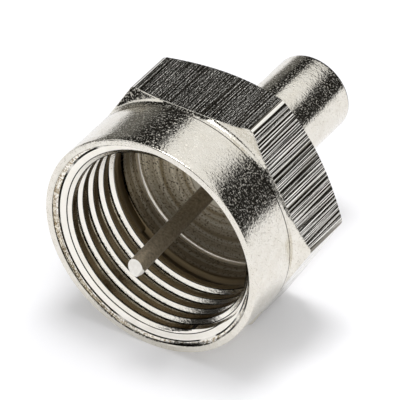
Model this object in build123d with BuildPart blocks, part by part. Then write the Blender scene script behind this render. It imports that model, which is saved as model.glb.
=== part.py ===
# F-type terminating plug: a turned shell with a threaded mouth, and a resistor in its slim rear sleeve.
# Millimetres. The plug's axis is Y, its mouth opens towards -Y, and it lies on a flat of its hexagon.
# The origin is where the centre pin leaves the seat, the plane that the mating jack's nose stops against.
import os
from math import cos, radians, sin, tan

from build123d import *

os.makedirs("parts", exist_ok=True)

# Collar and hexagon, from round bar
bar_d = 12.7
hex_across_flats = 11.11
hex_length = 3.75
front_chamfer_angle = 18.0
rear_chamfer_angle = 30.0
rear_face_d = 10.55
collar_d = 11.27
collar_length = 3.17
root_fillet = 0.2
rim_edge_break = 0.08

# Mouth: a shallow countersink and a right-hand thread in the bore, down to the seat
mouth_depth = 5.9
tapping_d = 9.0
countersink_d = 10.6
countersink_half_angle = 68.0
thread_pitch = 0.87
thread_groove_depth = 0.44
thread_root_flat = 0.06
thread_flank_length = 0.235
thread_overcut = 0.1
thread_lead_in = 0.39
thread_stop_depth = 4.3

# Rear sleeve
sleeve_d = 4.0
sleeve_length = 7.28
sleeve_end_round = 0.2
end_wall = 0.7

# Insulating bead, pressed into the seat
bead_d = 3.1
bead_length = 1.0

# Resistor
wire_d = 0.84
core_d = 1.9
cap_wall = 0.2
cap_length = 1.3
bead_to_cap = 0.15
cap_to_end_wall = 0.3
resistor_clearance = 0.15

# Centre pin
pin_reach = 1.6
pin_bend_start = 0.15
pin_bend_radius = 2.0
pin_lean = 2.0
pin_lean_towards = -35.0
pin_tip_break = 0.05

# Solder in the end wall
solder_gap = 0.2
solder_mouth_flare = 0.25
solder_dome = 0.1

# Places along the axis
seat_y = 0.0
mouth_y = seat_y - mouth_depth
collar_end_y = mouth_y + collar_length
hex_rear_y = collar_end_y + hex_length
sleeve_end_y = hex_rear_y + sleeve_length
end_wall_y = sleeve_end_y - end_wall
bead_rear_y = seat_y + bead_length
front_cap_y = bead_rear_y + bead_to_cap
rear_cap_y = end_wall_y - cap_to_end_wall
pin_tip_y = mouth_y - pin_reach
pin_bend_y = seat_y - pin_bend_start

# Radii
bar_r = bar_d / 2
collar_r = collar_d / 2
rear_face_r = rear_face_d / 2
tapping_r = tapping_d / 2
countersink_r = countersink_d / 2
sleeve_r = sleeve_d / 2
bead_r = bead_d / 2
wire_r = wire_d / 2
core_r = core_d / 2
cap_r = core_r + cap_wall
resistor_bore_r = cap_r + resistor_clearance
solder_hole_r = wire_r + solder_gap
solder_mouth_r = solder_hole_r + solder_mouth_flare

# The thread's groove starts in front of the mouth, and the overcut draws its flanks on into the open bore
thread_start_y = mouth_y - thread_lead_in
thread_advance = thread_lead_in + thread_stop_depth
groove_root_half = thread_root_flat / 2
groove_open_half = groove_root_half + thread_flank_length * (1 + thread_overcut / thread_groove_depth)

# The front chamfer is a shallow cone that a fillet blends into the collar
front_slope = radians(front_chamfer_angle)
fillet_reach = root_fillet * tan((radians(90) - front_slope) / 2)
cone_root_y = collar_end_y + fillet_reach
fillet_end = (collar_r + fillet_reach * cos(front_slope), cone_root_y + fillet_reach * sin(front_slope))
front_corner_y = cone_root_y + (bar_r - collar_r) * tan(front_slope)
rear_corner_y = hex_rear_y - (bar_r - rear_face_r) * tan(radians(rear_chamfer_angle))
countersink_y = mouth_y + (countersink_r - tapping_r) / tan(radians(countersink_half_angle))


with BuildPart() as shell:
    # hexagon, cut back by the bar's own round and by a chamfer cone at each end
    with BuildSketch(Plane.XZ.offset(-hex_rear_y)):
        RegularPolygon(hex_across_flats / 2, 6, major_radius=False)
    extrude(amount=hex_length)
    with BuildSketch(Plane.XY):
        with BuildLine():
            Polyline((0, collar_end_y), (collar_r, collar_end_y))
            TangentArc((collar_r, collar_end_y), fillet_end, tangent=(0, 1))
            Polyline(
                fillet_end,
                (bar_r, front_corner_y),
                (bar_r, rear_corner_y),
                (rear_face_r, hex_rear_y),
                (0, hex_rear_y),
                (0, collar_end_y),
            )
        make_face()
    revolve(axis=Axis.Y, mode=Mode.INTERSECT)
    # collar
    with BuildSketch(Plane.XY):
        Polygon(
            (0, mouth_y),
            (collar_r - rim_edge_break, mouth_y),
            (collar_r, mouth_y + rim_edge_break),
            (collar_r, collar_end_y),
            (0, collar_end_y),
            align=None,
        )
    revolve(axis=Axis.Y)
    # sleeve
    with BuildSketch(Plane.XZ.offset(-hex_rear_y)):
        Circle(sleeve_r)
    extrude(amount=-sleeve_length)
    fillet(shell.edges().filter_by(GeomType.CIRCLE).sort_by(Axis.Y)[-1], sleeve_end_round)
    # everything bored from the mouth, and the hole for the rear lead
    with BuildSketch(Plane.XY):
        Polygon(
            (0, mouth_y),
            (countersink_r, mouth_y),
            (tapping_r, countersink_y),
            (tapping_r, seat_y),
            (bead_r, seat_y),
            (bead_r, bead_rear_y),
            (resistor_bore_r, bead_rear_y),
            (resistor_bore_r, end_wall_y),
            (solder_hole_r, end_wall_y),
            (solder_hole_r, sleeve_end_y - solder_mouth_flare),
            (solder_mouth_r, sleeve_end_y),
            (0, sleeve_end_y),
            align=None,
        )
    revolve(axis=Axis.Y, mode=Mode.SUBTRACT)
    # thread
    with BuildLine() as thread_path:
        Helix(thread_pitch, thread_advance, tapping_r, center=(0, thread_start_y, 0), direction=(0, 1, 0))
    with BuildSketch(Plane(thread_path.line @ 0, x_dir=(0, 0, 1), z_dir=thread_path.line % 0)):
        Polygon(
            (-thread_overcut, -groove_open_half),
            (thread_groove_depth, -groove_root_half),
            (thread_groove_depth, groove_root_half),
            (-thread_overcut, groove_open_half),
            align=None,
        )
    sweep(is_frenet=True, mode=Mode.SUBTRACT)
shell.part.label = "shell"
export_step(shell.part, "parts/shell.step")


with BuildPart() as insulator:
    with BuildSketch(Plane.XZ.offset(-bead_rear_y)):
        Circle(bead_r)
        Circle(wire_r, mode=Mode.SUBTRACT)
    extrude(amount=bead_length)
insulator.part.label = "insulator"
export_step(insulator.part, "parts/insulator.step")


# The wire runs straight through the bead and leans from its bend on
lean = radians(pin_lean)
lean_way = radians(pin_lean_towards)
lean_length = (pin_bend_y - pin_tip_y) / cos(lean)
pin_tip = (
    lean_length * sin(lean) * cos(lean_way),
    pin_tip_y,
    lean_length * sin(lean) * sin(lean_way),
)

with BuildPart() as centre_pin:
    with BuildLine():
        FilletPolyline((0, front_cap_y, 0), (0, pin_bend_y, 0), pin_tip, radius=pin_bend_radius)
    with BuildSketch(Plane.XZ.offset(-front_cap_y)):
        Circle(wire_r)
    sweep()
    chamfer(centre_pin.edges().filter_by(GeomType.CIRCLE).sort_by(Axis.Y)[0], pin_tip_break)
centre_pin.part.label = "centre_pin"
export_step(centre_pin.part, "parts/centre_pin.step")


with BuildPart() as resistor_core:
    with BuildSketch(Plane.XZ.offset(-(rear_cap_y - cap_wall))):
        Circle(core_r)
    extrude(amount=rear_cap_y - front_cap_y - 2 * cap_wall)
resistor_core.part.label = "resistor_core"
export_step(resistor_core.part, "parts/resistor_core.step")


def cup(closed_y, inner_y, open_y):
    """A cup's profile as (radius, place along the axis): outside, rim, inside wall and floor."""
    outside = (0, closed_y), (cap_r, closed_y), (cap_r, open_y)
    inside = (core_r, open_y), (core_r, inner_y), (0, inner_y)
    return outside + inside


with BuildPart() as resistor_front_cap:
    with BuildSketch(Plane.XY):
        Polygon(*cup(front_cap_y, front_cap_y + cap_wall, front_cap_y + cap_length), align=None)
    revolve(axis=Axis.Y)
resistor_front_cap.part.label = "resistor_front_cap"
export_step(resistor_front_cap.part, "parts/resistor_front_cap.step")


with BuildPart() as resistor_rear_cap:
    with BuildSketch(Plane.XY):
        Polygon(*cup(rear_cap_y, rear_cap_y - cap_wall, rear_cap_y - cap_length), align=None)
    revolve(axis=Axis.Y)
resistor_rear_cap.part.label = "resistor_rear_cap"
export_step(resistor_rear_cap.part, "parts/resistor_rear_cap.step")


with BuildPart() as rear_lead:
    with BuildSketch(Plane.XZ.offset(-sleeve_end_y)):
        Circle(wire_r)
    extrude(amount=sleeve_end_y - rear_cap_y)
rear_lead.part.label = "rear_lead"
export_step(rear_lead.part, "parts/rear_lead.step")


with BuildPart() as solder_plug:
    with BuildSketch(Plane.XY):
        with BuildLine():
            Polyline(
                (wire_r, sleeve_end_y),
                (wire_r, end_wall_y),
                (solder_hole_r, end_wall_y),
                (solder_hole_r, sleeve_end_y - solder_mouth_flare),
                (solder_mouth_r, sleeve_end_y),
            )
            Line((wire_r, sleeve_end_y), (0, sleeve_end_y))
            Line((0, sleeve_end_y), (0, sleeve_end_y + solder_dome))
            TangentArc((0, sleeve_end_y + solder_dome), (solder_mouth_r, sleeve_end_y), tangent=(1, 0))
        make_face()
    revolve(axis=Axis.Y)
solder_plug.part.label = "solder_plug"
export_step(solder_plug.part, "parts/solder_plug.step")
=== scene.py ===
# %% [markdown]
# # An F-type terminating plug, dressed in Blender
# The plug is one turned and nickel-plated brass shell. It has a threaded mouth, a hexagon and a slim
# sleeve, and a resistor hides inside it, whose front wire is the centre pin. The CAD model comes in
# first, as a fixed frame. Every later piece is made where the CAD says, in metres.

from math import ceil, cos, radians, sin, tan, tau

import bmesh
import bpy
import numpy as np
from mathutils import Matrix, Vector


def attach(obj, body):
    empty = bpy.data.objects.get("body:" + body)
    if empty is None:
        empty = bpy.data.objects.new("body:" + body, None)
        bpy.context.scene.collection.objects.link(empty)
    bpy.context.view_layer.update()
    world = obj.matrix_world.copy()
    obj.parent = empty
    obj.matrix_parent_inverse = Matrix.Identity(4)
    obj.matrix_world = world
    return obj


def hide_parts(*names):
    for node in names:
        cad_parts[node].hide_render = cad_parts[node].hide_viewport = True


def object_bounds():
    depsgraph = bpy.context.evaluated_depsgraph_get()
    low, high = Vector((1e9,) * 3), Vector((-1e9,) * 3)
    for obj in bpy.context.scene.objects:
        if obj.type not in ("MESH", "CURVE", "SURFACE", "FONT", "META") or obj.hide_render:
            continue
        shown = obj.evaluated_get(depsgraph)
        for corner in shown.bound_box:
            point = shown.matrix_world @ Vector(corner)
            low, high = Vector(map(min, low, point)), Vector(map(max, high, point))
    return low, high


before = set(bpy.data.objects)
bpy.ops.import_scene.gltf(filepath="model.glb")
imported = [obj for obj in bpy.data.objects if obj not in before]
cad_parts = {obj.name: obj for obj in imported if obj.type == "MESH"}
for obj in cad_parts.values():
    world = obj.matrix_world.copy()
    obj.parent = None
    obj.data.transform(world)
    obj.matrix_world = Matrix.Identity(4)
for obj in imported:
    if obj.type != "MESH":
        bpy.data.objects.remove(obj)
cad_low, cad_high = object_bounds()
print("CAD nodes:", ", ".join(sorted(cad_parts)))
print("CAD box in mm:", [round(1000 * (high - low), 2) for low, high in zip(cad_low, cad_high)])

# %% [markdown]
# ## Helpers
# A material or a Geometry Nodes tree is a set of linked nodes, so one helper adds a node with its
# options, constants and links in a single call. Some nodes hide the sockets that their options don't use,
# so the helper looks only at those in use. Another one turns an sRGB hex colour, as a picture shows it,
# into the linear colour that Blender calculates with. Sizes are written in millimetres and multiplied by
# MM, because the scene is in metres.

# %% Helpers
MM = 0.001


def add(tree, kind, inputs=None, **options):
    """Adds a node. Each input goes by its name or number: a constant, a socket or a node's first output."""
    made = tree.nodes.new(kind)
    for option, value in options.items():
        setattr(made, option, value)
    for place, value in (inputs or {}).items():
        in_use = [socket for socket in made.inputs if socket.enabled and socket.name == place]
        socket = in_use[0] if in_use else made.inputs[place]
        if isinstance(value, bpy.types.Node):
            value = next(output for output in value.outputs if output.enabled)
        if isinstance(value, bpy.types.NodeSocket):
            tree.links.new(value, socket)
        else:
            socket.default_value = value
    return made


def linear(hex_colour):
    """'#rrggbb' as a linear colour with alpha 1."""
    parts = [int(hex_colour[k : k + 2], 16) / 255 for k in (1, 3, 5)]
    return [p / 12.92 if p <= 0.04045 else ((p + 0.055) / 1.055) ** 2.4 for p in parts] + [1.0]


def grain(size_mm):
    """The scale of a noise whose patches are about size_mm across."""
    return 1 / (size_mm * MM)


def new_material(name):
    """A material with an empty node tree, and that tree."""
    material = bpy.data.materials.new(name)
    material.use_nodes = True
    material.node_tree.nodes.clear()
    return material, material.node_tree


def places(tree):
    """Where a point lies: its place on the object, its radius, how far along and how high, and its ring."""
    point = add(tree, "ShaderNodeTexCoord").outputs["Object"]
    off_axis = add(tree, "ShaderNodeVectorMath", {0: point, 1: (1, 0, 1)}, operation="MULTIPLY")
    radius = add(tree, "ShaderNodeVectorMath", {0: off_axis}, operation="LENGTH").outputs["Value"]
    ways = add(tree, "ShaderNodeSeparateXYZ", {"Vector": point}).outputs
    ring = add(tree, "ShaderNodeCombineXYZ", {"X": radius, "Y": ways["Y"]})
    return {"point": point, "radius": radius, "along": ways["Y"], "height": ways["Z"], "ring": ring}


print("helpers ready; a 0.1 mm grain has the scale", grain(0.1))

# %% [markdown]
# ## Camera
# The picture was taken from the right, above and in front of the mouth, with a long lens, so that the
# plug shows almost no perspective. The camera's turn is worked out from its azimuth and elevation.

# %% Camera
camera_azimuth = radians(32.3)
camera_elevation = radians(36.9)
camera_place = Vector((128.0, -204.1, 179.79)) * MM
camera_data = bpy.data.cameras.new("camera")
camera_data.lens = 590.4
camera_data.sensor_width = 36.0
camera_data.clip_start = 0.01
camera_data.clip_end = 10.0
camera = bpy.data.objects.new("camera", camera_data)
bpy.context.scene.collection.objects.link(camera)
camera_back = Vector(
    (
        sin(camera_azimuth) * cos(camera_elevation),
        -cos(camera_azimuth) * cos(camera_elevation),
        sin(camera_elevation),
    )
)
camera_right = Vector((cos(camera_azimuth), sin(camera_azimuth), 0))
camera_up = camera_back.cross(camera_right)
camera_turn = Matrix((camera_right, camera_up, camera_back)).transposed().to_4x4()
camera.matrix_world = Matrix.Translation(camera_place) @ camera_turn
bpy.context.scene.camera = camera
bpy.context.scene.view_settings.view_transform = "Standard"
print("camera looks along", [round(-x, 3) for x in camera_back])

# %% [markdown]
# ## Studio
# Bare metal shows its surroundings more than its own colour. The plug lies on a white table in a white
# room, and one softbox overhead gives it a soft shadow. Black flags stand round the table, and their
# reflections are the dark bands on the collar, the sleeve and the hexagon. They are curved panels, hidden
# from the camera, so that the plug can be seen from any side. The table glows a little for the rays that
# show it, to the camera or in the metal, so that it turns out white and still keeps the plug's shadow.

# %% Table
table_gap = 0.005
table_size = 6.0
table_glow = 0.22
bpy.ops.mesh.primitive_plane_add(size=table_size, location=(0, 0, cad_low.z - table_gap * MM))
table = bpy.context.object
table.name = "table"
table_paper, tree = new_material("white_table_paper")
rays = add(tree, "ShaderNodeLightPath").outputs
seen = add(tree, "ShaderNodeMath", {0: rays["Is Camera Ray"], 1: rays["Is Glossy Ray"]}, operation="MAXIMUM")
seen = add(tree, "ShaderNodeMath", {0: seen, 1: rays["Is Transmission Ray"]}, operation="MAXIMUM")
strength = add(tree, "ShaderNodeMath", {0: seen, 1: table_glow}, operation="MULTIPLY")
glow = add(tree, "ShaderNodeEmission", {"Color": linear("#ffffff"), "Strength": strength})
paper = add(tree, "ShaderNodeBsdfDiffuse", {"Color": linear("#e9e9ec")})
add(tree, "ShaderNodeOutputMaterial", {"Surface": add(tree, "ShaderNodeAddShader", {0: paper, 1: glow})})
table.data.materials.append(table_paper)
print("table top at", round(table.location.z / MM, 3), "mm")

# %% World and softbox
world = bpy.data.worlds.new("white_room")
bpy.context.scene.world = world
world.use_nodes = True
world.node_tree.nodes["Background"].inputs["Color"].default_value = linear("#ffffff")
world.node_tree.nodes["Background"].inputs["Strength"].default_value = 1.0

softbox_data = bpy.data.lights.new("softbox", "AREA")
softbox_data.shape = "RECTANGLE"
softbox_data.size = 0.4
softbox_data.size_y = 0.3
softbox_data.energy = 5.0
softbox = bpy.data.objects.new("softbox", softbox_data)
softbox.location = (-0.06, 0.11, 0.97)
softbox.rotation_euler = Vector(softbox.location).to_track_quat("Z", "Y").to_euler()
bpy.context.scene.collection.objects.link(softbox)
print("softbox", round(softbox.location.length, 2), "m from the plug")

# %% Black flags
flag_cloth, tree = new_material("black_flag_cloth")
cloth = add(tree, "ShaderNodeBsdfDiffuse", {"Color": linear("#33322f")})
add(tree, "ShaderNodeOutputMaterial", {"Surface": cloth})
grey_cloth, tree = new_material("grey_flag_cloth")
cloth = add(tree, "ShaderNodeBsdfDiffuse", {"Color": linear("#8d8c86")})
add(tree, "ShaderNodeOutputMaterial", {"Surface": cloth})


def flag(name, azimuths, first, last, cloth=flag_cloth, distance=0.7, across=60, upwards=12):
    """A curved panel between two azimuths; first and last are the elevations of its two ends."""
    bm = bmesh.new()
    rows = []
    for climb in np.linspace(0, 1, upwards + 1):
        row = []
        for share in np.linspace(0, 1, across + 1):
            u = radians(azimuths[0] + (azimuths[1] - azimuths[0]) * share)
            low = first[0] + (last[0] - first[0]) * share
            high = first[1] + (last[1] - first[1]) * share
            v = radians(low + (high - low) * climb)
            row.append(bm.verts.new(Vector((sin(u) * cos(v), -cos(u) * cos(v), sin(v))) * distance))
        rows.append(row)
    for low, high in zip(rows, rows[1:]):
        for k in range(across):
            bm.faces.new((low[k], low[k + 1], high[k + 1], high[k]))
    mesh = bpy.data.meshes.new(name)
    bm.to_mesh(mesh)
    bm.free()
    mesh.materials.append(cloth)
    panel = bpy.data.objects.new(name, mesh)
    bpy.context.scene.collection.objects.link(panel)
    panel.visible_camera = False
    return panel


# azimuth 0 is in front of the mouth, 90 on the right and 180 behind the sleeve
# the dark bands on the collar and the sleeve, and the dark lines on the right flat
flag("back_flag", (64.0, 291.0), (0.8, 39.5), (0.8, 35.5))
# the shade in the thread's grooves and in the recess
flag("camera_flag", (-46.0, 50.0), (36.0, 62.0), (36.0, 62.0))
# the dark top flat, and the left end of the collar's white band
flag("side_flag", (206.0, 291.0), (34.0, 62.0), (34.0, 62.0))
# the softer grey on the collar's left side
flag("grey_flag", (216.0, 291.0), (0.8, 22.0), (0.8, 24.0), grey_cloth, 0.68)
# a small card close to the mouth, seen only in reflections, which darkens the left of the hexagon's shoulder
low_card = flag("low_card", (-62.0, -27.0), (-10.0, 9.0), (-10.0, 9.0), flag_cloth, 0.03, 8, 2)
low_card.visible_diffuse = False
low_card.visible_shadow = False

# %% [markdown]
# ## Finishes
# The whole shell is nickel-plated brass, but each tool leaves its own marks under the plating. Turned
# faces have fine rings, the drawn flats of the hexagon have straight lines, and the tapped mouth ends in
# a brown, dull skin. All these marks are noise in the object's own coordinates, stretched or rolled up
# along the tool's path, and they work through bump, because bare metal shows a mark only by tilting what
# it reflects. Their sizes are about those in the photo, 0.08 to 0.3 mm, which is coarser than a real
# plating's grain. Shade in corners and along edges is painted into the tint by place: a band of distances
# from the axis, or of places along it, picks the corner, and the tint turns dark there.

# %% Places that the finishes follow
mouth_y = -5.9
seat_y = 0.0
thread_root_r = 5.1
thread_flank_r = 4.8
thread_crest_r = 4.5
sleeve_end_y = 8.3
shoulder_line_y = -2.935
print("mouth", seat_y - mouth_y, "mm deep")

# %% [markdown]
# ### Turned nickel
# The collar, the chamfers and the sleeve were turned and then nickel-plated. That gives near-white
# reflections with a warm cast, broken by fine rings and pits. A picture of turned metal could be wrapped
# round the plug, but a noise that knows only the radius and the place along the axis makes rings on every
# turned face by itself.

# %% Turned nickel
turned_nickel, tree = new_material("turned_nickel_plate")
at = places(tree)
rings = add(tree, "ShaderNodeTexNoise", {"Vector": at["ring"], "Scale": grain(0.11)})
peel = add(tree, "ShaderNodeTexNoise", {"Vector": at["point"], "Scale": grain(0.12), "Detail": 3.0})
marks = add(tree, "ShaderNodeMix", {"Factor": 0.7, "A": rings, "B": peel})
bump = add(tree, "ShaderNodeBump", {"Strength": 1.0, "Distance": 0.014 * MM, "Height": marks})
pits = add(tree, "ShaderNodeTexNoise", {"Vector": at["point"], "Scale": grain(0.08), "Detail": 3.0})
rough = add(
    tree,
    "ShaderNodeMapRange",
    {"Value": pits, "From Min": 0.5, "From Max": 0.68, "To Min": 0.1, "To Max": 0.55},
    interpolation_type="SMOOTHSTEP",
)
clouds = add(tree, "ShaderNodeTexNoise", {"Vector": at["point"], "Scale": grain(0.5), "Detail": 3.0})
tints = {"Factor": clouds, "A": linear("#d8d2c5"), "B": linear("#ece9e1")}
stain = add(tree, "ShaderNodeMix", tints, data_type="RGBA")
# painted shade, two dark lines: where the sleeve's end starts to round, and in the groove of the tool mark
# before the hexagon's shoulder
sleeve_end_shade_y = (sleeve_end_y - 0.1) * MM
sleeve_end_painted_shade = add(tree, "ShaderNodeMath", {0: at["along"], 1: sleeve_end_shade_y, 2: 0.07 * MM}, operation="COMPARE")
line_y = (shoulder_line_y - 0.005) * MM
shoulder_line = add(tree, "ShaderNodeMath", {0: at["along"], 1: line_y, 2: 0.025 * MM}, operation="COMPARE")
lines = add(tree, "ShaderNodeMath", {0: sleeve_end_painted_shade, 1: shoulder_line}, operation="MAXIMUM")
tint = add(tree, "ShaderNodeMix", {"Factor": lines, "A": stain, "B": linear("#4f4a41")}, data_type="RGBA")
look = {"Base Color": tint, "Metallic": 1.0, "Roughness": rough, "Normal": bump}
add(tree, "ShaderNodeOutputMaterial", {"Surface": add(tree, "ShaderNodeBsdfPrincipled", look)})
print(turned_nickel.name, "has", len(tree.nodes), "nodes")

# %% [markdown]
# ### Drawn nickel
# The flats of the hexagon are the drawn bar's own, nickel-plated. Long grooves from the drawing die throw
# black and white side by side, and on the top flat pits cross them. Separate scratches could be modelled,
# but a noise that is stretched along the axis gives many grooves of uneven width at once.

# %% Drawn nickel
drawn_nickel, tree = new_material("drawn_nickel_plate")
at = places(tree)
stretched = add(tree, "ShaderNodeVectorMath", {0: at["point"], 1: (1, 0.012, 1)}, operation="MULTIPLY")
normal = add(tree, "ShaderNodeTexCoord").outputs["Normal"]
facing = add(tree, "ShaderNodeSeparateXYZ", {"Vector": normal}).outputs["Z"]
rubbed = add(
    tree,
    "ShaderNodeMapRange",
    {"Value": facing, "From Min": 0.6, "From Max": 0.9, "To Min": 0.1, "To Max": 0.58},
    interpolation_type="SMOOTHSTEP",
)
grooves = add(tree, "ShaderNodeTexNoise", {"Vector": stretched, "Scale": grain(0.088), "Detail": 1.0})
pits = add(tree, "ShaderNodeTexNoise", {"Vector": at["point"], "Scale": grain(0.09), "Detail": 3.0})
marks = add(tree, "ShaderNodeMix", {"Factor": rubbed, "A": grooves, "B": pits})
# the corners are the bar's own round, hardly grooved
deep = 0.028 * MM
fine = 0.004 * MM
depth = add(
    tree,
    "ShaderNodeMapRange",
    {"Value": at["radius"], "From Min": 6.32 * MM, "From Max": 6.34 * MM, "To Min": deep, "To Max": fine},
    interpolation_type="SMOOTHSTEP",
)
bump = add(tree, "ShaderNodeBump", {"Strength": 1.0, "Distance": depth, "Height": marks})
ridges = add(
    tree,
    "ShaderNodeMapRange",
    {"Value": grooves, "From Min": 0.4, "From Max": 0.52},
    interpolation_type="SMOOTHSTEP",
)
tints = {"Factor": ridges, "A": linear("#716c61"), "B": linear("#f6f3ec")}
tint = add(tree, "ShaderNodeMix", tints, data_type="RGBA")
look = {"Base Color": tint, "Metallic": 1.0, "Roughness": 0.12, "Normal": bump}
add(tree, "ShaderNodeOutputMaterial", {"Surface": add(tree, "ShaderNodeBsdfPrincipled", look)})
print(drawn_nickel.name, "has", len(tree.nodes), "nodes")

# %% [markdown]
# ### Tapped nickel
# The thread was cut with a tap and then nickel-plated. Its flanks are bright near the mouth, and towards
# the end of the thread a brown film makes them dull. The film could be a second layer of mesh, but a tint
# that changes with the place is enough, because the film has no thickness to see.

# %% Tapped nickel
tapped_nickel, tree = new_material("tapped_nickel_plate")
at = places(tree)
peel = add(tree, "ShaderNodeTexNoise", {"Vector": at["point"], "Scale": grain(0.1), "Detail": 3.0})
bump = add(tree, "ShaderNodeBump", {"Strength": 1.0, "Distance": 0.007 * MM, "Height": peel})
clouds = add(tree, "ShaderNodeTexNoise", {"Vector": at["point"], "Scale": grain(0.4)})
tints = {"Factor": clouds, "A": linear("#e9e4d8"), "B": linear("#f6f3ec")}
tint = add(tree, "ShaderNodeMix", tints, data_type="RGBA")
on_crest = add(
    tree,
    "ShaderNodeMapRange",
    {
        "Value": at["radius"],
        "From Min": (thread_crest_r + 0.01) * MM,
        "From Max": (thread_crest_r + 0.03) * MM,
        "To Min": 1.0,
        "To Max": 0.0,
    },
    interpolation_type="SMOOTHSTEP",
)
tint = add(tree, "ShaderNodeMix", {"Factor": on_crest, "A": tint, "B": linear("#a89a82")}, data_type="RGBA")
worn = add(
    tree,
    "ShaderNodeMapRange",
    {"Value": at["along"], "From Min": -2.0 * MM, "From Max": -1.3 * MM},
    interpolation_type="SMOOTHSTEP",
)
tint = add(tree, "ShaderNodeMix", {"Factor": worn, "A": tint, "B": linear("#75674f")}, data_type="RGBA")

# brown patches on the countersink, outside the thread's root radius
speckle = add(tree, "ShaderNodeTexNoise", {"Vector": at["point"], "Scale": grain(0.12), "Detail": 3.0})
patches = add(
    tree,
    "ShaderNodeMapRange",
    {"Value": speckle, "From Min": 0.45, "From Max": 0.62},
    interpolation_type="SMOOTHSTEP",
)
cone_start_r = (thread_root_r + 0.01) * MM
cone_full_r = (thread_root_r + 0.05) * MM
outside = add(
    tree,
    "ShaderNodeMapRange",
    {"Value": at["radius"], "From Min": cone_start_r, "From Max": cone_full_r},
    interpolation_type="SMOOTHSTEP",
)
on_cone = add(tree, "ShaderNodeMath", {0: outside, 1: patches}, operation="MULTIPLY")
tint = add(tree, "ShaderNodeMix", {"Factor": on_cone, "A": tint, "B": linear("#ada089")}, data_type="RGBA")
print("tints of", tapped_nickel.name, "so far:", len(tree.nodes), "nodes")

# %% [markdown]
# ### Painted shade in the tapped mouth
# Painted shade draws the thread's edges as dark lines: broken ones in the grooves' roots and inside the lip,
# whole ones down each flank and at each crest's edge. They could be painted on an unwrapped picture, but
# each edge of a thread lies at one radius, so a narrow band of radii finds it all the way round.

# %% Painted shade in the tapped mouth
behind_cone = add(
    tree,
    "ShaderNodeMapRange",
    {"Value": at["along"], "From Min": (mouth_y + 0.12) * MM, "From Max": (mouth_y + 0.13) * MM},
    interpolation_type="SMOOTHSTEP",
)
root_band = {0: at["radius"], 1: thread_root_r * MM, 2: 0.05 * MM}
in_root = add(tree, "ShaderNodeMath", root_band, operation="COMPARE")
in_root = add(tree, "ShaderNodeMath", {0: in_root, 1: behind_cone}, operation="MULTIPLY")
in_lip = add(
    tree,
    "ShaderNodeMapRange",
    {"Value": at["along"], "From Min": (mouth_y + 0.085) * MM, "From Max": (mouth_y + 0.065) * MM},
    interpolation_type="SMOOTHSTEP",
)
streaks = add(tree, "ShaderNodeTexNoise", {"Vector": at["point"], "Scale": grain(1.3)})
broken = add(
    tree,
    "ShaderNodeMapRange",
    {"Value": streaks, "From Min": 0.38, "From Max": 0.5, "To Min": 0.15, "To Max": 1.0},
    interpolation_type="SMOOTHSTEP",
)
flank_band = {0: at["radius"], 1: (thread_flank_r - 0.065) * MM, 2: 0.022 * MM}
crest_band = {0: at["radius"], 1: (thread_crest_r + 0.03) * MM, 2: 0.018 * MM}
on_flank = add(tree, "ShaderNodeMath", flank_band, operation="COMPARE")
at_crest = add(tree, "ShaderNodeMath", crest_band, operation="COMPARE")
# dark lines of painted shade: in the roots and inside the lip, broken up, and down each flank and at each
# crest's edge
painted_thread_shade = add(tree, "ShaderNodeMath", {0: in_root, 1: in_lip}, operation="MAXIMUM")
painted_thread_shade = add(tree, "ShaderNodeMath", {0: painted_thread_shade, 1: broken}, operation="MULTIPLY")
painted_thread_shade = add(tree, "ShaderNodeMath", {0: painted_thread_shade, 1: at_crest}, operation="MAXIMUM")
painted_thread_shade = add(tree, "ShaderNodeMath", {0: painted_thread_shade, 1: on_flank}, operation="MAXIMUM")
fading = add(
    tree,
    "ShaderNodeMapRange",
    {"Value": at["along"], "From Min": -2.0 * MM, "From Max": -1.6 * MM, "To Min": 1.0, "To Max": 0.3},
    interpolation_type="SMOOTHSTEP",
)
painted_thread_shade = add(tree, "ShaderNodeMath", {0: painted_thread_shade, 1: fading}, operation="MULTIPLY")
tint = add(tree, "ShaderNodeMix", {"Factor": painted_thread_shade, "A": tint, "B": linear("#1d1a15")}, data_type="RGBA")
rough = add(tree, "ShaderNodeMapRange", {"Value": worn, "To Min": 0.13, "To Max": 0.5})
look = {"Base Color": tint, "Metallic": 1.0, "Roughness": rough, "Normal": bump}
add(tree, "ShaderNodeOutputMaterial", {"Surface": add(tree, "ShaderNodeBsdfPrincipled", look)})
print(tapped_nickel.name, "has", len(tree.nodes), "nodes")

# %% [markdown]
# ### Dull nickel
# Behind the thread the turned, plated recess has tool rings and pits under a brown skin of old cutting oil.
# The tint turns darker towards the bottom, the upper wall carries a painted shadow of the rim, and the
# seat's corner is a painted highlight, a near-white line. A clear second shader could lie on the metal as
# the skin, but a plain brown tint with little metal in it gives the same dull look.

# %% Dull nickel
dull_nickel, tree = new_material("dull_nickel_in_the_recess")
at = places(tree)
rings = add(tree, "ShaderNodeTexNoise", {"Vector": at["ring"], "Scale": grain(0.3), "Detail": 3.0})
blotches = add(tree, "ShaderNodeTexNoise", {"Vector": at["point"], "Scale": grain(0.16), "Detail": 3.0})
marks = add(tree, "ShaderNodeMix", {"Factor": 0.4, "A": rings, "B": blotches})
bump = add(tree, "ShaderNodeBump", {"Strength": 1.0, "Distance": 0.025 * MM, "Height": marks})
ridges = add(
    tree,
    "ShaderNodeMapRange",
    {"Value": rings, "From Min": 0.35, "From Max": 0.65},
    interpolation_type="SMOOTHSTEP",
)
tints = {"Factor": ridges, "A": linear("#a89776"), "B": linear("#fff6df")}
tint = add(tree, "ShaderNodeMix", tints, data_type="RGBA")
# the tint turns darker towards the bottom of the recess
darker_lower_down = add(
    tree,
    "ShaderNodeMapRange",
    {"Value": at["height"], "From Min": 0.4 * MM, "From Max": -3.5 * MM, "To Min": 0.0, "To Max": 0.7},
    interpolation_type="SMOOTHSTEP",
)
tint = add(tree, "ShaderNodeMix", {"Factor": darker_lower_down, "A": tint, "B": linear("#4d4233")}, data_type="RGBA")
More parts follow.
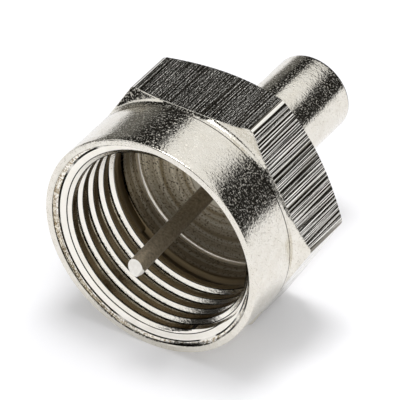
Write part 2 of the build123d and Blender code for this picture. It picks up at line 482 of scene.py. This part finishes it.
# painted shadow of the rim: the upper part of the recess's wall is tinted near-black
on_wall = add(
    tree,
    "ShaderNodeMapRange",
    {"Value": at["radius"], "From Min": 4.3 * MM, "From Max": 4.46 * MM},
    interpolation_type="SMOOTHSTEP",
)
upper = add(
    tree,
    "ShaderNodeMapRange",
    {"Value": at["height"], "From Min": -1.6 * MM, "From Max": 0.0, "To Min": 0.0, "To Max": 0.65},
    interpolation_type="SMOOTHSTEP",
)
rim_painted_shadow = add(tree, "ShaderNodeMath", {0: on_wall, 1: upper}, operation="MULTIPLY")
tints = {"Factor": rim_painted_shadow, "A": tint, "B": linear("#221d15")}
tint = add(tree, "ShaderNodeMix", tints, data_type="RGBA")
specks = add(tree, "ShaderNodeTexNoise", {"Vector": at["point"], "Scale": grain(0.11), "Detail": 3.0})
pits = add(
    tree,
    "ShaderNodeMapRange",
    {"Value": specks, "From Min": 0.52, "From Max": 0.64},
    interpolation_type="SMOOTHSTEP",
)
tint = add(tree, "ShaderNodeMix", {"Factor": pits, "A": tint, "B": linear("#5e5240")}, data_type="RGBA")
# painted highlight: the seat's corner is tinted near-white, and is also more metallic and smoother there
corner_painted_highlight = add(tree, "ShaderNodeMath", {0: at["radius"], 1: 4.405 * MM, 2: 0.05 * MM}, operation="COMPARE")
tint = add(tree, "ShaderNodeMix", {"Factor": corner_painted_highlight, "A": tint, "B": linear("#fffaf0")}, data_type="RGBA")
metal = add(tree, "ShaderNodeMapRange", {"Value": corner_painted_highlight, "To Min": 0.15, "To Max": 1.0})
rough = add(tree, "ShaderNodeMapRange", {"Value": corner_painted_highlight, "To Min": 0.5, "To Max": 0.28})
look = {"Base Color": tint, "Metallic": metal, "Roughness": rough, "Normal": bump}
add(tree, "ShaderNodeOutputMaterial", {"Surface": add(tree, "ShaderNodeBsdfPrincipled", look)})
print(dull_nickel.name, "has", len(tree.nodes), "nodes")

# %% [markdown]
# ## Finishes of the small parts
# The pin, the bead, the solder and the resistor need less: a tint that wanders between two colours, and a
# fine bump. So one table says what each is made of, and a loop builds the materials. The grains are in
# millimetres.

# %% Finishes of the small parts
small_finishes = {
    # copper wire, tinned, tinted dark, with lighter specks
    "tinned_wire": {
        "tints": ("#3f382d", "#b9ab93"),
        "tint_grain": 0.12,
        "tint_detail": 4.0,
        "bump_grain": 0.1,
        "bump_mm": 0.006,
        "shader": {"Metallic": 0.5, "Roughness": 0.42},
    },
    # the bare bright metal where the wire was nipped off
    "nipped_wire_end": {
        "tints": ("#d9d5cb", "#f6f4ee"),
        "tint_grain": 0.2,
        "tint_detail": 2.0,
        "bump_grain": 0.08,
        "bump_mm": 0.008,
        "shader": {"Metallic": 1.0, "Roughness": 0.34},
    },
    # moulded polyethylene: glossy and slightly uneven
    "bead_polyethylene": {
        "tints": ("#cfc8b6", "#e2dccb"),
        "tint_grain": 0.5,
        "tint_detail": 2.0,
        "bump_grain": 0.2,
        "bump_mm": 0.006,
        "shader": {"Roughness": 0.35},
    },
    # fired ceramic with a matt glaze
    "resistor_ceramic": {
        "tints": ("#cfc3a8", "#e4dac4"),
        "tint_grain": 0.3,
        "tint_detail": 4.0,
        "bump_grain": 0.1,
        "bump_mm": 0.004,
        "shader": {"Roughness": 0.5},
    },
}
small_materials = {}
for name, finish in small_finishes.items():
    small_materials[name], tree = new_material(name)
    at = places(tree)
    relief = add(tree, "ShaderNodeTexNoise", {"Vector": at["point"], "Scale": grain(finish["bump_grain"])})
    bump_depth = finish["bump_mm"] * MM
    bump = add(tree, "ShaderNodeBump", {"Strength": 1.0, "Distance": bump_depth, "Height": relief})
    sizes = {"Vector": at["point"], "Scale": grain(finish["tint_grain"]), "Detail": finish["tint_detail"]}
    dark, light = (linear(hex_colour) for hex_colour in finish["tints"])
    tints = {"Factor": add(tree, "ShaderNodeTexNoise", sizes), "A": dark, "B": light}
    tint = add(tree, "ShaderNodeMix", tints, data_type="RGBA")
    look = {"Base Color": tint, "Normal": bump, **finish["shader"]}
    add(tree, "ShaderNodeOutputMaterial", {"Surface": add(tree, "ShaderNodeBsdfPrincipled", look)})
print("small parts:", ", ".join(small_materials))

# %% [markdown]
# ### Solder and caps
# Two small finishes need a pattern of their own. Soft solder sets with crystals, which cells show better
# than a noise does, and the resistor's rolled steel caps have rings.

# %% Solder and caps
soft_solder, tree = new_material("soft_solder")
at = places(tree)
cells = add(tree, "ShaderNodeTexVoronoi", {"Vector": at["point"], "Scale": grain(0.22)})
crystals = cells.outputs["Distance"]
bump = add(tree, "ShaderNodeBump", {"Strength": 0.8, "Distance": 0.01 * MM, "Height": crystals})
tints = {"Factor": crystals, "A": linear("#b9b9b6"), "B": linear("#dedddb")}
tint = add(tree, "ShaderNodeMix", tints, data_type="RGBA")
look = {"Base Color": tint, "Metallic": 1.0, "Roughness": 0.3, "Normal": bump}
add(tree, "ShaderNodeOutputMaterial", {"Surface": add(tree, "ShaderNodeBsdfPrincipled", look)})

# steel caps, rolled and thinly tinned
cap_steel, tree = new_material("tinned_steel_cap")
at = places(tree)
rings = add(tree, "ShaderNodeTexNoise", {"Vector": at["ring"], "Scale": grain(0.12)})
bump = add(tree, "ShaderNodeBump", {"Strength": 1.0, "Distance": 0.004 * MM, "Height": rings})
clouds = add(tree, "ShaderNodeTexNoise", {"Vector": at["point"], "Scale": grain(0.4)})
tints = {"Factor": clouds, "A": linear("#a9a8a3"), "B": linear("#cfcdc8")}
tint = add(tree, "ShaderNodeMix", tints, data_type="RGBA")
look = {"Base Color": tint, "Metallic": 1.0, "Roughness": 0.28, "Normal": bump}
add(tree, "ShaderNodeOutputMaterial", {"Surface": add(tree, "ShaderNodeBsdfPrincipled", look)})
print(soft_solder.name, "and", cap_steel.name, "made")

# %% [markdown]
# ## Pieces from the CAD
# The bead, the solder and the resistor hardly show or don't show at all. They could be built again like
# the shell, but their CAD meshes are fine as they are and only get a finish.

# %% Dress the CAD nodes that are shown as they are
carried_over = {
    "insulator": small_materials["bead_polyethylene"],
    "solder_plug": soft_solder,
    "resistor_front_cap": cap_steel,
    "resistor_rear_cap": cap_steel,
    "resistor_core": small_materials["resistor_ceramic"],
    "rear_lead": small_materials["tinned_wire"],
}
for node, finish in carried_over.items():
    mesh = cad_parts[node].data
    mesh.materials.clear()
    mesh.materials.append(finish)
print("CAD nodes with a finish of their own:", ", ".join(carried_over))

# %% [markdown]
# ## Tapped bore
# A tap cut this thread: a narrow root, a steep wall and a long flank, wound round the bore. A profile
# could be swept along a helix and cut out of the shell, but a thread is a rule, and Geometry Nodes follow
# a rule exactly. A flat grid is rolled up: across it runs the angle, up it runs the depth, and the radius
# comes from the thread's own profile at that angle and depth. The rows of the grid climb with the thread,
# so its crests stay sharp with few faces. The sizes are inputs with names, so that each can be changed in
# one place.

# %% Sizes of the tapped bore
thread_pitch = 0.87
bore_end_y = -1.1
around = 360
rows_per_pitch = 24
rows = ceil((bore_end_y - mouth_y + thread_pitch) / thread_pitch * rows_per_pitch)
edge_break = 0.03
countersink_r = 5.29
# Root, Wall and Flank Rows say how far each of these reaches, in rows from the middle of a groove
bore_sizes = {
    "Mouth Y": (mouth_y + edge_break) * MM,
    "Length": (bore_end_y - mouth_y - edge_break) * MM,
    "Pitch": thread_pitch * MM,
    "Crest Radius": thread_crest_r * MM,
    "Root Radius": thread_root_r * MM,
    "Flank Radius": thread_flank_r * MM,
    "Rows": rows_per_pitch,
    "Root Rows": 1.0,
    "Wall Rows": 2.0,
    "Flank Rows": 8.0,
    "Countersink Radius": countersink_r * MM,
    "Countersink Slope": 1.7,
    "Countersink Depth": 0.11 * MM,
    "Step Slope": 4.0,
    "First Crest Start": 0.24 * MM,
    "First Crest End": 0.42 * MM,
    "Start Turn": 1 / around,
    "Thread Phase": 0.7,
    "Tap Stop": 4.72 * MM,
    "Tap Flutes": 4.0,
    "Tap Tooth Step": 0.12 * MM,
    "Most Tooth Steps": 20.0,
}
print("bore grid:", around, "columns and", rows, "rows")

# %% Inputs of the bore's tree
bore_tree = bpy.data.node_groups.new("tapped_bore", "GeometryNodeTree")
bore_tree.interface.new_socket("Geometry", in_out="INPUT", socket_type="NodeSocketGeometry")
sockets = {}
for name in bore_sizes:
    made = bore_tree.interface.new_socket(name, in_out="INPUT", socket_type="NodeSocketFloat")
    sockets[name] = made.identifier
made = bore_tree.interface.new_socket("Material", in_out="INPUT", socket_type="NodeSocketMaterial")
sockets["Material"] = made.identifier
bore_tree.interface.new_socket("Geometry", in_out="OUTPUT", socket_type="NodeSocketGeometry")
given = add(bore_tree, "NodeGroupInput").outputs
print("inputs of the bore's tree:", len(sockets))

# %% Turn and depth
grid_size = {"Size X": 1.0, "Size Y": 1.0, "Vertices X": around + 1, "Vertices Y": rows + 1}
grid = add(bore_tree, "GeometryNodeMeshGrid", grid_size)
position = add(bore_tree, "GeometryNodeInputPosition")
flat_place = add(bore_tree, "ShaderNodeSeparateXYZ", {"Vector": position}).outputs
# how far round, in turns, and how deep: the rows slope by one pitch a turn, and stop at the bore's ends
turn = add(bore_tree, "ShaderNodeMath", {0: flat_place["X"], 1: 0.5}, operation="ADD")
climb = add(bore_tree, "ShaderNodeMath", {0: flat_place["Y"], 1: 0.5}, operation="ADD")
span = add(bore_tree, "ShaderNodeMath", {0: given["Pitch"], 1: rows / rows_per_pitch}, operation="MULTIPLY")
sheared = add(bore_tree, "ShaderNodeMath", {0: turn, 1: given["Pitch"]}, operation="MULTIPLY")
climbed = add(bore_tree, "ShaderNodeMath", {0: climb, 1: span}, operation="MULTIPLY")
travel = add(bore_tree, "ShaderNodeMath", {0: climbed, 1: sheared}, operation="SUBTRACT")
depth = add(bore_tree, "ShaderNodeClamp", {"Value": travel, "Min": 0.0, "Max": given["Length"]})
print("nodes for turn and depth:", len(bore_tree.nodes))

# %% Profile of the thread
# where this depth lies in the thread's profile: 0 in the middle of a crest, 0.5 in the middle of a groove
pitches = add(bore_tree, "ShaderNodeMath", {0: depth, 1: given["Pitch"]}, operation="DIVIDE")
wound = add(bore_tree, "ShaderNodeMath", {0: pitches, 1: turn}, operation="ADD")
phase = add(bore_tree, "ShaderNodeMath", {0: wound, 1: given["Thread Phase"]}, operation="ADD")
number = add(bore_tree, "ShaderNodeMath", {0: phase}, operation="FLOOR")
part = add(bore_tree, "ShaderNodeMath", {0: phase, 1: number}, operation="SUBTRACT")
off_middle = add(bore_tree, "ShaderNodeMath", {0: part, 1: 0.5}, operation="SUBTRACT")
aside = add(bore_tree, "ShaderNodeMath", {0: off_middle}, operation="ABSOLUTE")
aside = add(bore_tree, "ShaderNodeMath", {0: aside, 1: given["Rows"]}, operation="MULTIPLY")
# the groove: a narrow root, a steep wall, and the long flank that leads to the crest
wall = add(
    bore_tree,
    "ShaderNodeMapRange",
    {
        "Value": aside,
        "From Min": given["Root Rows"],
        "From Max": given["Wall Rows"],
        "To Min": given["Root Radius"],
        "To Max": given["Flank Radius"],
    },
)
flank = add(
    bore_tree,
    "ShaderNodeMapRange",
    {
        "Value": aside,
        "From Min": given["Wall Rows"],
        "From Max": given["Flank Rows"],
        "To Min": given["Flank Radius"],
        "To Max": given["Crest Radius"],
    },
)
both = add(bore_tree, "ShaderNodeMath", {0: wall, 1: flank}, operation="ADD")
profile = add(bore_tree, "ShaderNodeMath", {0: both, 1: given["Flank Radius"]}, operation="SUBTRACT")
print("nodes with the profile:", len(bore_tree.nodes))

# %% Start of the thread
# the first crest is cut away where it starts, and comes to its full height within a part of a turn
crest_number = add(bore_tree, "ShaderNodeMath", {0: phase, 1: 0.5}, operation="ADD")
crest_number = add(bore_tree, "ShaderNodeMath", {0: crest_number}, operation="FLOOR")
crest_at = add(bore_tree, "ShaderNodeMath", {0: crest_number, 1: turn}, operation="SUBTRACT")
crest_at = add(bore_tree, "ShaderNodeMath", {0: crest_at, 1: given["Thread Phase"]}, operation="SUBTRACT")
crest_at = add(bore_tree, "ShaderNodeMath", {0: crest_at, 1: given["Pitch"]}, operation="MULTIPLY")
cut_back = add(
    bore_tree,
    "ShaderNodeMapRange",
    {
        "Value": crest_at,
        "From Min": given["First Crest Start"],
        "From Max": given["First Crest End"],
        "To Min": given["Countersink Radius"],
        "To Max": given["Crest Radius"],
    },
)
profile = add(bore_tree, "ShaderNodeMath", {0: profile, 1: cut_back}, operation="MAXIMUM")
print("nodes with the thread's start:", len(bore_tree.nodes))

# %% End of the thread
# the tap's tapered teeth leave shallower and shallower grooves, with a step where each flute stopped
middle = add(bore_tree, "ShaderNodeMath", {0: number, 1: 0.5}, operation="ADD")
middle = add(bore_tree, "ShaderNodeMath", {0: middle, 1: turn}, operation="SUBTRACT")
middle = add(bore_tree, "ShaderNodeMath", {0: middle, 1: given["Thread Phase"]}, operation="SUBTRACT")
middle = add(bore_tree, "ShaderNodeMath", {0: middle, 1: given["Pitch"]}, operation="MULTIPLY")
to_stop = add(bore_tree, "ShaderNodeMath", {0: given["Tap Stop"], 1: middle}, operation="SUBTRACT")
flute = add(bore_tree, "ShaderNodeMath", {0: given["Pitch"], 1: given["Tap Flutes"]}, operation="DIVIDE")
teeth = add(bore_tree, "ShaderNodeMath", {0: to_stop, 1: flute}, operation="DIVIDE")
teeth = add(bore_tree, "ShaderNodeMath", {0: teeth}, operation="CEIL")
teeth = add(bore_tree, "ShaderNodeClamp", {"Value": teeth, "Min": 0.0, "Max": given["Most Tooth Steps"]})
reach = add(bore_tree, "ShaderNodeMath", {0: teeth, 1: given["Tap Tooth Step"]}, operation="MULTIPLY")
reach = add(bore_tree, "ShaderNodeMath", {0: reach, 1: given["Crest Radius"]}, operation="ADD")
threaded = add(bore_tree, "ShaderNodeMath", {0: profile, 1: reach}, operation="MINIMUM")
print("nodes with the thread's end:", len(bore_tree.nodes))

# %% Countersink, and the grid rolled up
# the countersink opens the mouth with a flat cone, and falls off more steeply below its own depth
slope = add(bore_tree, "ShaderNodeMath", {0: depth, 1: given["Countersink Slope"]}, operation="MULTIPLY")
cone = add(bore_tree, "ShaderNodeMath", {0: given["Countersink Radius"], 1: slope}, operation="SUBTRACT")
beyond = add(bore_tree, "ShaderNodeMath", {0: depth, 1: given["Countersink Depth"]}, operation="SUBTRACT")
beyond = add(bore_tree, "ShaderNodeMath", {0: beyond, 1: 0.0}, operation="MAXIMUM")
beyond = add(bore_tree, "ShaderNodeMath", {0: beyond, 1: given["Step Slope"]}, operation="MULTIPLY")
cone = add(bore_tree, "ShaderNodeMath", {0: cone, 1: beyond}, operation="SUBTRACT")
radius = add(bore_tree, "ShaderNodeMath", {0: threaded, 1: cone}, operation="MAXIMUM")
started = add(bore_tree, "ShaderNodeMath", {0: turn, 1: given["Start Turn"]}, operation="ADD")
angle = add(bore_tree, "ShaderNodeMath", {0: started, 1: tau}, operation="MULTIPLY")
cosine = add(bore_tree, "ShaderNodeMath", {0: angle}, operation="COSINE")
sine = add(bore_tree, "ShaderNodeMath", {0: angle}, operation="SINE")
x = add(bore_tree, "ShaderNodeMath", {0: radius, 1: cosine}, operation="MULTIPLY")
y = add(bore_tree, "ShaderNodeMath", {0: depth, 1: given["Mouth Y"]}, operation="ADD")
z = add(bore_tree, "ShaderNodeMath", {0: radius, 1: sine}, operation="MULTIPLY")
rolled = add(bore_tree, "ShaderNodeCombineXYZ", {"X": x, "Y": y, "Z": z})
bore = add(bore_tree, "GeometryNodeSetPosition", {"Geometry": grid, "Position": rolled})
seam_gap = 1e-7
bore = add(bore_tree, "GeometryNodeMergeByDistance", {"Geometry": bore, "Distance": seam_gap})
bore = add(bore_tree, "GeometryNodeRealizeInstances", {"Geometry": bore})
bore = add(bore_tree, "GeometryNodeSetMaterial", {"Geometry": bore, "Material": given["Material"]})
add(bore_tree, "NodeGroupOutput", {"Geometry": bore})
print("nodes in the whole tree:", len(bore_tree.nodes))

# %% Mesh of the tapped bore
bore_object = bpy.data.objects.new("tapped_bore", bpy.data.meshes.new("tapped_bore"))
bpy.context.scene.collection.objects.link(bore_object)
modifier = bore_object.modifiers.new("tapped_bore", "NODES")
modifier.node_group = bore_tree
for name, value in bore_sizes.items():
    modifier[sockets[name]] = value
modifier[sockets["Material"]] = tapped_nickel
evaluated = bore_object.evaluated_get(bpy.context.evaluated_depsgraph_get())
bore_mesh = bpy.data.meshes.new_from_object(evaluated)
bpy.data.objects.remove(bore_object)
print("tapped bore:", len(bore_mesh.vertices), "points,", len(bore_mesh.polygons), "faces")

# %% [markdown]
# ## Shell
# The rest of the shell came off a lathe, so it is a profile turned round the axis. A Screw modifier could
# turn it, but the hexagon isn't round: there each column of the grid takes the hexagon's radius at its
# own angle, held back by the bar's round, and the chamfer cones tell where the flat begins and ends. So
# every edge lies on an edge of the mesh and stays crisp. The profile is walked once, from the rim over
# the outside to the sleeve's end, and back through the bores to the end of the thread.

# %% Sizes of the shell
collar_r = 5.6335
rim_round = 0.075
flat_half_width = 11.11 / 2
bar_r = 6.3498
cone_root_y = -2.585
front_angle = 18.0
front_slope = tan(radians(front_angle))
rear_slope = tan(radians(30.0))
hex_rear_y = 1.02
rear_face_r = 5.275
sleeve_r = 2.0
neck_round = 0.12
end_round = 0.2
solder_mouth_r = 0.87
solder_hole_r = 0.62
solder_flare_y = 8.05
end_wall_y = 7.6
resistor_bore_r = 1.3
bead_rear_y = 1.0
bead_r = 1.55
seat_corner_r = 4.35
seat_corner_round = 0.1
turns = np.arange(around) / around * tau
sixth = np.mod(turns, radians(60)) - radians(30)
hex_r = np.minimum(flat_half_width / np.cos(sixth), bar_r)
print("hexagon's radius in mm:", round(hex_r.min(), 3), "to", round(hex_r.max(), 3))


# %% Rings and arcs
def ring(radius, y):
    """One ring of points round the axis; either value may differ from column to column."""
    radius = np.broadcast_to(np.asarray(radius, float), around)
    y = np.broadcast_to(np.asarray(y, float), around)
    return np.stack((radius * np.cos(turns), y, radius * np.sin(turns)), axis=-1) * MM


def arc(centre, radius, start, end, steps):
    """Rings along an arc as (radius, y), its angles in degrees from the radial direction towards +Y."""
    angles = np.radians(np.linspace(start, end, steps + 1))
    return [(centre[0] + radius * cos(a), centre[1] + radius * sin(a)) for a in angles]


# a finish is its place in the shell's list of materials
finishes = [tapped_nickel, turned_nickel, drawn_nickel, dull_nickel]
tapped, turned, drawn, dull = range(len(finishes))
skin = []


def course(finish, *corners):
    """Adds rings (radius, y) to the shell's skin; the faces that lead to them get that finish."""
    skin.extend((finish, ring(*corner)) for corner in corners)


print("finishes of the shell:", ", ".join(finish.name for finish in finishes))

# %% Collar and hexagon
course(turned, (countersink_r, mouth_y + edge_break), (countersink_r + edge_break, mouth_y))
course(turned, (collar_r - rim_round, mouth_y))
course(turned, *arc((collar_r - rim_round, mouth_y + rim_round), rim_round, -60, 0, 3))
course(turned, (collar_r, mouth_y + 0.5), (collar_r, -4.5), (collar_r, -3.2))
# the fine line that the tool left in front of the shoulder
line_half_width = 0.015
line_depth = 0.03
course(turned, (collar_r, shoulder_line_y - line_half_width))
course(turned, (collar_r - line_depth, shoulder_line_y))
course(turned, (collar_r, shoulder_line_y + line_half_width))
# the fillet between collar and front chamfer, which the flats cut off where they are lower
fillet_r = 0.25
fillet_turn = 90 - front_angle
fillet_reach = fillet_r * tan(radians(fillet_turn / 2))
fillet_centre = (collar_r + fillet_r, cone_root_y - fillet_reach)
fillet = arc(fillet_centre, fillet_r, 180, 180 - fillet_turn, 6)
# the first ring lies on the collar, whose radius is a little more than the flats' half width
course(turned, (collar_r, fillet[0][1]))
for radius, y in fillet[1:]:
    course(turned, (np.minimum(hex_r, radius), y))
# where each column leaves the front cone for its flat, and its flat for the rear cone
least_step = 0.01
flat_front_y = cone_root_y + (hex_r - collar_r) * front_slope
flat_rear_y = hex_rear_y - (hex_r - rear_face_r) * rear_slope
flat_start_y = np.maximum(flat_front_y, fillet[-1][1] + least_step)
course(turned, (hex_r - edge_break, flat_start_y - least_step), (hex_r, flat_start_y + edge_break))
course(drawn, (hex_r, (flat_front_y + flat_rear_y) / 2), (hex_r, flat_rear_y))
print("flats start at", round(flat_start_y.min(), 3), "to", round(flat_start_y.max(), 3), "mm")

# %% Sleeve, bores and seat
# a ring at a bare number only divides a long face
course(turned, (rear_face_r, hex_rear_y), (3.6, hex_rear_y), (sleeve_r + neck_round, hex_rear_y))
course(turned, *arc((sleeve_r + neck_round, hex_rear_y + neck_round), neck_round, -120, -180, 3))
course(turned, (sleeve_r, 3.0), (sleeve_r, 5.5), (sleeve_r, sleeve_end_y - end_round))
course(turned, *arc((sleeve_r - end_round, sleeve_end_y - end_round), end_round, 15, 90, 5))
course(turned, (1.3, sleeve_end_y), (solder_mouth_r, sleeve_end_y))
course(dull, (solder_hole_r, solder_flare_y), (solder_hole_r, end_wall_y))
course(dull, (resistor_bore_r, end_wall_y), (resistor_bore_r, bead_rear_y))
course(dull, (bead_r, bead_rear_y), (bead_r, seat_y))
course(dull, (1.62, seat_y), (2.5, seat_y), (3.5, seat_y), (4.2, seat_y))
course(dull, *arc((seat_corner_r, seat_y - seat_corner_round), seat_corner_round, 80, 0, 3))
course(dull, (thread_crest_r, -0.6), (thread_crest_r, bore_end_y))
print("rings in the shell's skin:", len(skin))

# %% Shell mesh
# the bore and the skin are joined where their points meet; edges sharper than the crease angle stay hard
crease_angle = radians(22)
join_gap = 2e-7
no_length = 1e-8
shell_mesh = bpy.data.meshes.new("shell_skin")
bm = bmesh.new()
bm.from_mesh(bore_mesh)
for face in bm.faces:
    face.material_index = tapped
before = None
for finish, points in skin:
    made = [bm.verts.new(p) for p in points]
    if before:
        for k in range(around):
            after = (k + 1) % around
            face = bm.faces.new((before[k], made[k], made[after], before[after]))
            face.material_index = finish
    before = made
bmesh.ops.remove_doubles(bm, verts=bm.verts, dist=join_gap)
bmesh.ops.dissolve_degenerate(bm, edges=bm.edges, dist=no_length)
bmesh.ops.recalc_face_normals(bm, faces=bm.faces)
for edge in bm.edges:
    edge.smooth = not (edge.is_manifold and edge.calc_face_angle() > crease_angle)
open_edges = sum(1 for e in bm.edges if len(e.link_faces) != 2)
bm.to_mesh(shell_mesh)
bm.free()
for finish in finishes:
    shell_mesh.materials.append(finish)
shell_mesh.shade_smooth()
shell = bpy.data.objects.new("shell_skin", shell_mesh)
bpy.context.scene.collection.objects.link(shell)
print("shell:", len(shell_mesh.polygons), "faces,", open_edges, "open edges")
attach(shell, "root")
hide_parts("shell")

# %% [markdown]
# ## Centre pin
# The pin is the resistor's own front wire. It runs straight through the bead, leans a little from there
# on, and was nipped off with side cutters, which left one broad facet and a sliver of a second. A curve
# with a bevel would make the wire, but not its end. So it is a tube of rings along the wire, and two
# planes cut it, as the cutters' blades did. That keeps the facets flat and their edges sharp.

# %% Course of the wire
wire_r = 0.42
wire_sides = 48
lean = radians(2.0)
lean_way = radians(-35.0)
pin_way = Vector((sin(lean) * cos(lean_way), -cos(lean), sin(lean) * sin(lean_way)))
bend_y = -0.15
pin_tip_y = -7.5
pin_length = (bend_y - pin_tip_y) / cos(lean)
bend = Vector((0, bend_y, 0))
pin_end = bend + pin_way * pin_length
print("pin leans to", [round(x, 3) for x in pin_end], "mm")

# %% Wire
bm = bmesh.new()


def wire_ring(centre, way):
    """A ring of points of the wire round a centre, square to the wire's way."""
    across = Vector((0, 0, 1)).cross(way).normalized()
    aside = way.cross(across)
    angles = np.linspace(0, tau, wire_sides, endpoint=False)
    points = [centre + across * (wire_r * cos(a)) + aside * (wire_r * sin(a)) for a in angles]
    return [bm.verts.new(point * MM) for point in points]


# the straight part by its places along the axis, and the leaning part by the way from the bend, with some
# length to spare for the blades
straight_places = (1.15, 0.6, 0.0, bend_y + 0.03)
leaning_places = (0.03, 0.5, 1.5, 3.0, 4.5, 5.5, 6.2, 6.6, 7.0, pin_length + 0.4)
rings = [wire_ring(Vector((0, y, 0)), Vector((0, -1, 0))) for y in straight_places]
rings.extend(wire_ring(bend + pin_way * reached, pin_way) for reached in leaning_places)
for first, second in zip(rings, rings[1:]):
    for k in range(wire_sides):
        after = (k + 1) % wire_sides
        bm.faces.new((first[k], second[k], second[after], first[after]))
# both ends are closed with a flat face
bm.faces.new(rings[0][::-1])
bm.faces.new(rings[-1])
print("wire:", len(rings), "rings of", wire_sides, "points")

# %% Nipped end
# each blade is a point on its plane and the way that the cut face looks
broad_facing = Vector((-0.12, -0.97, 0.16)).normalized()
narrow_facing = Vector((0.75, -0.55, -0.35)).normalized()
broad_from_end = 0.1
narrow_from_end = 0.22
blades = (
    (pin_end - pin_way * broad_from_end, broad_facing),
    (pin_end + narrow_facing * narrow_from_end, narrow_facing),
)
for at, facing in blades:
    everything = bm.verts[:] + bm.edges[:] + bm.faces[:]
    plane = {"plane_co": at * MM, "plane_no": facing, "clear_outer": True, "dist": 1e-9}
    cut = bmesh.ops.bisect_plane(bm, geom=everything, **plane)
    rim = [e for e in cut["geom_cut"] if isinstance(e, bmesh.types.BMEdge)]
    for face in bmesh.ops.contextual_create(bm, geom=rim)["faces"]:
        face.material_index = 1
bmesh.ops.recalc_face_normals(bm, faces=bm.faces)
for edge in bm.edges:
    edge.smooth = not (edge.is_manifold and edge.calc_face_angle() > crease_angle)
pin_open = sum(1 for e in bm.edges if not e.is_manifold)
pin_mesh = bpy.data.meshes.new("pin_wire")
bm.to_mesh(pin_mesh)
bm.free()
pin_mesh.materials.append(small_materials["tinned_wire"])
pin_mesh.materials.append(small_materials["nipped_wire_end"])
pin_mesh.shade_smooth()
pin = bpy.data.objects.new("pin_wire", pin_mesh)
bpy.context.scene.collection.objects.link(pin)
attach(pin, "root")
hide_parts("centre_pin")
print("pin:", len(pin_mesh.polygons), "faces,", pin_open, "open edges")
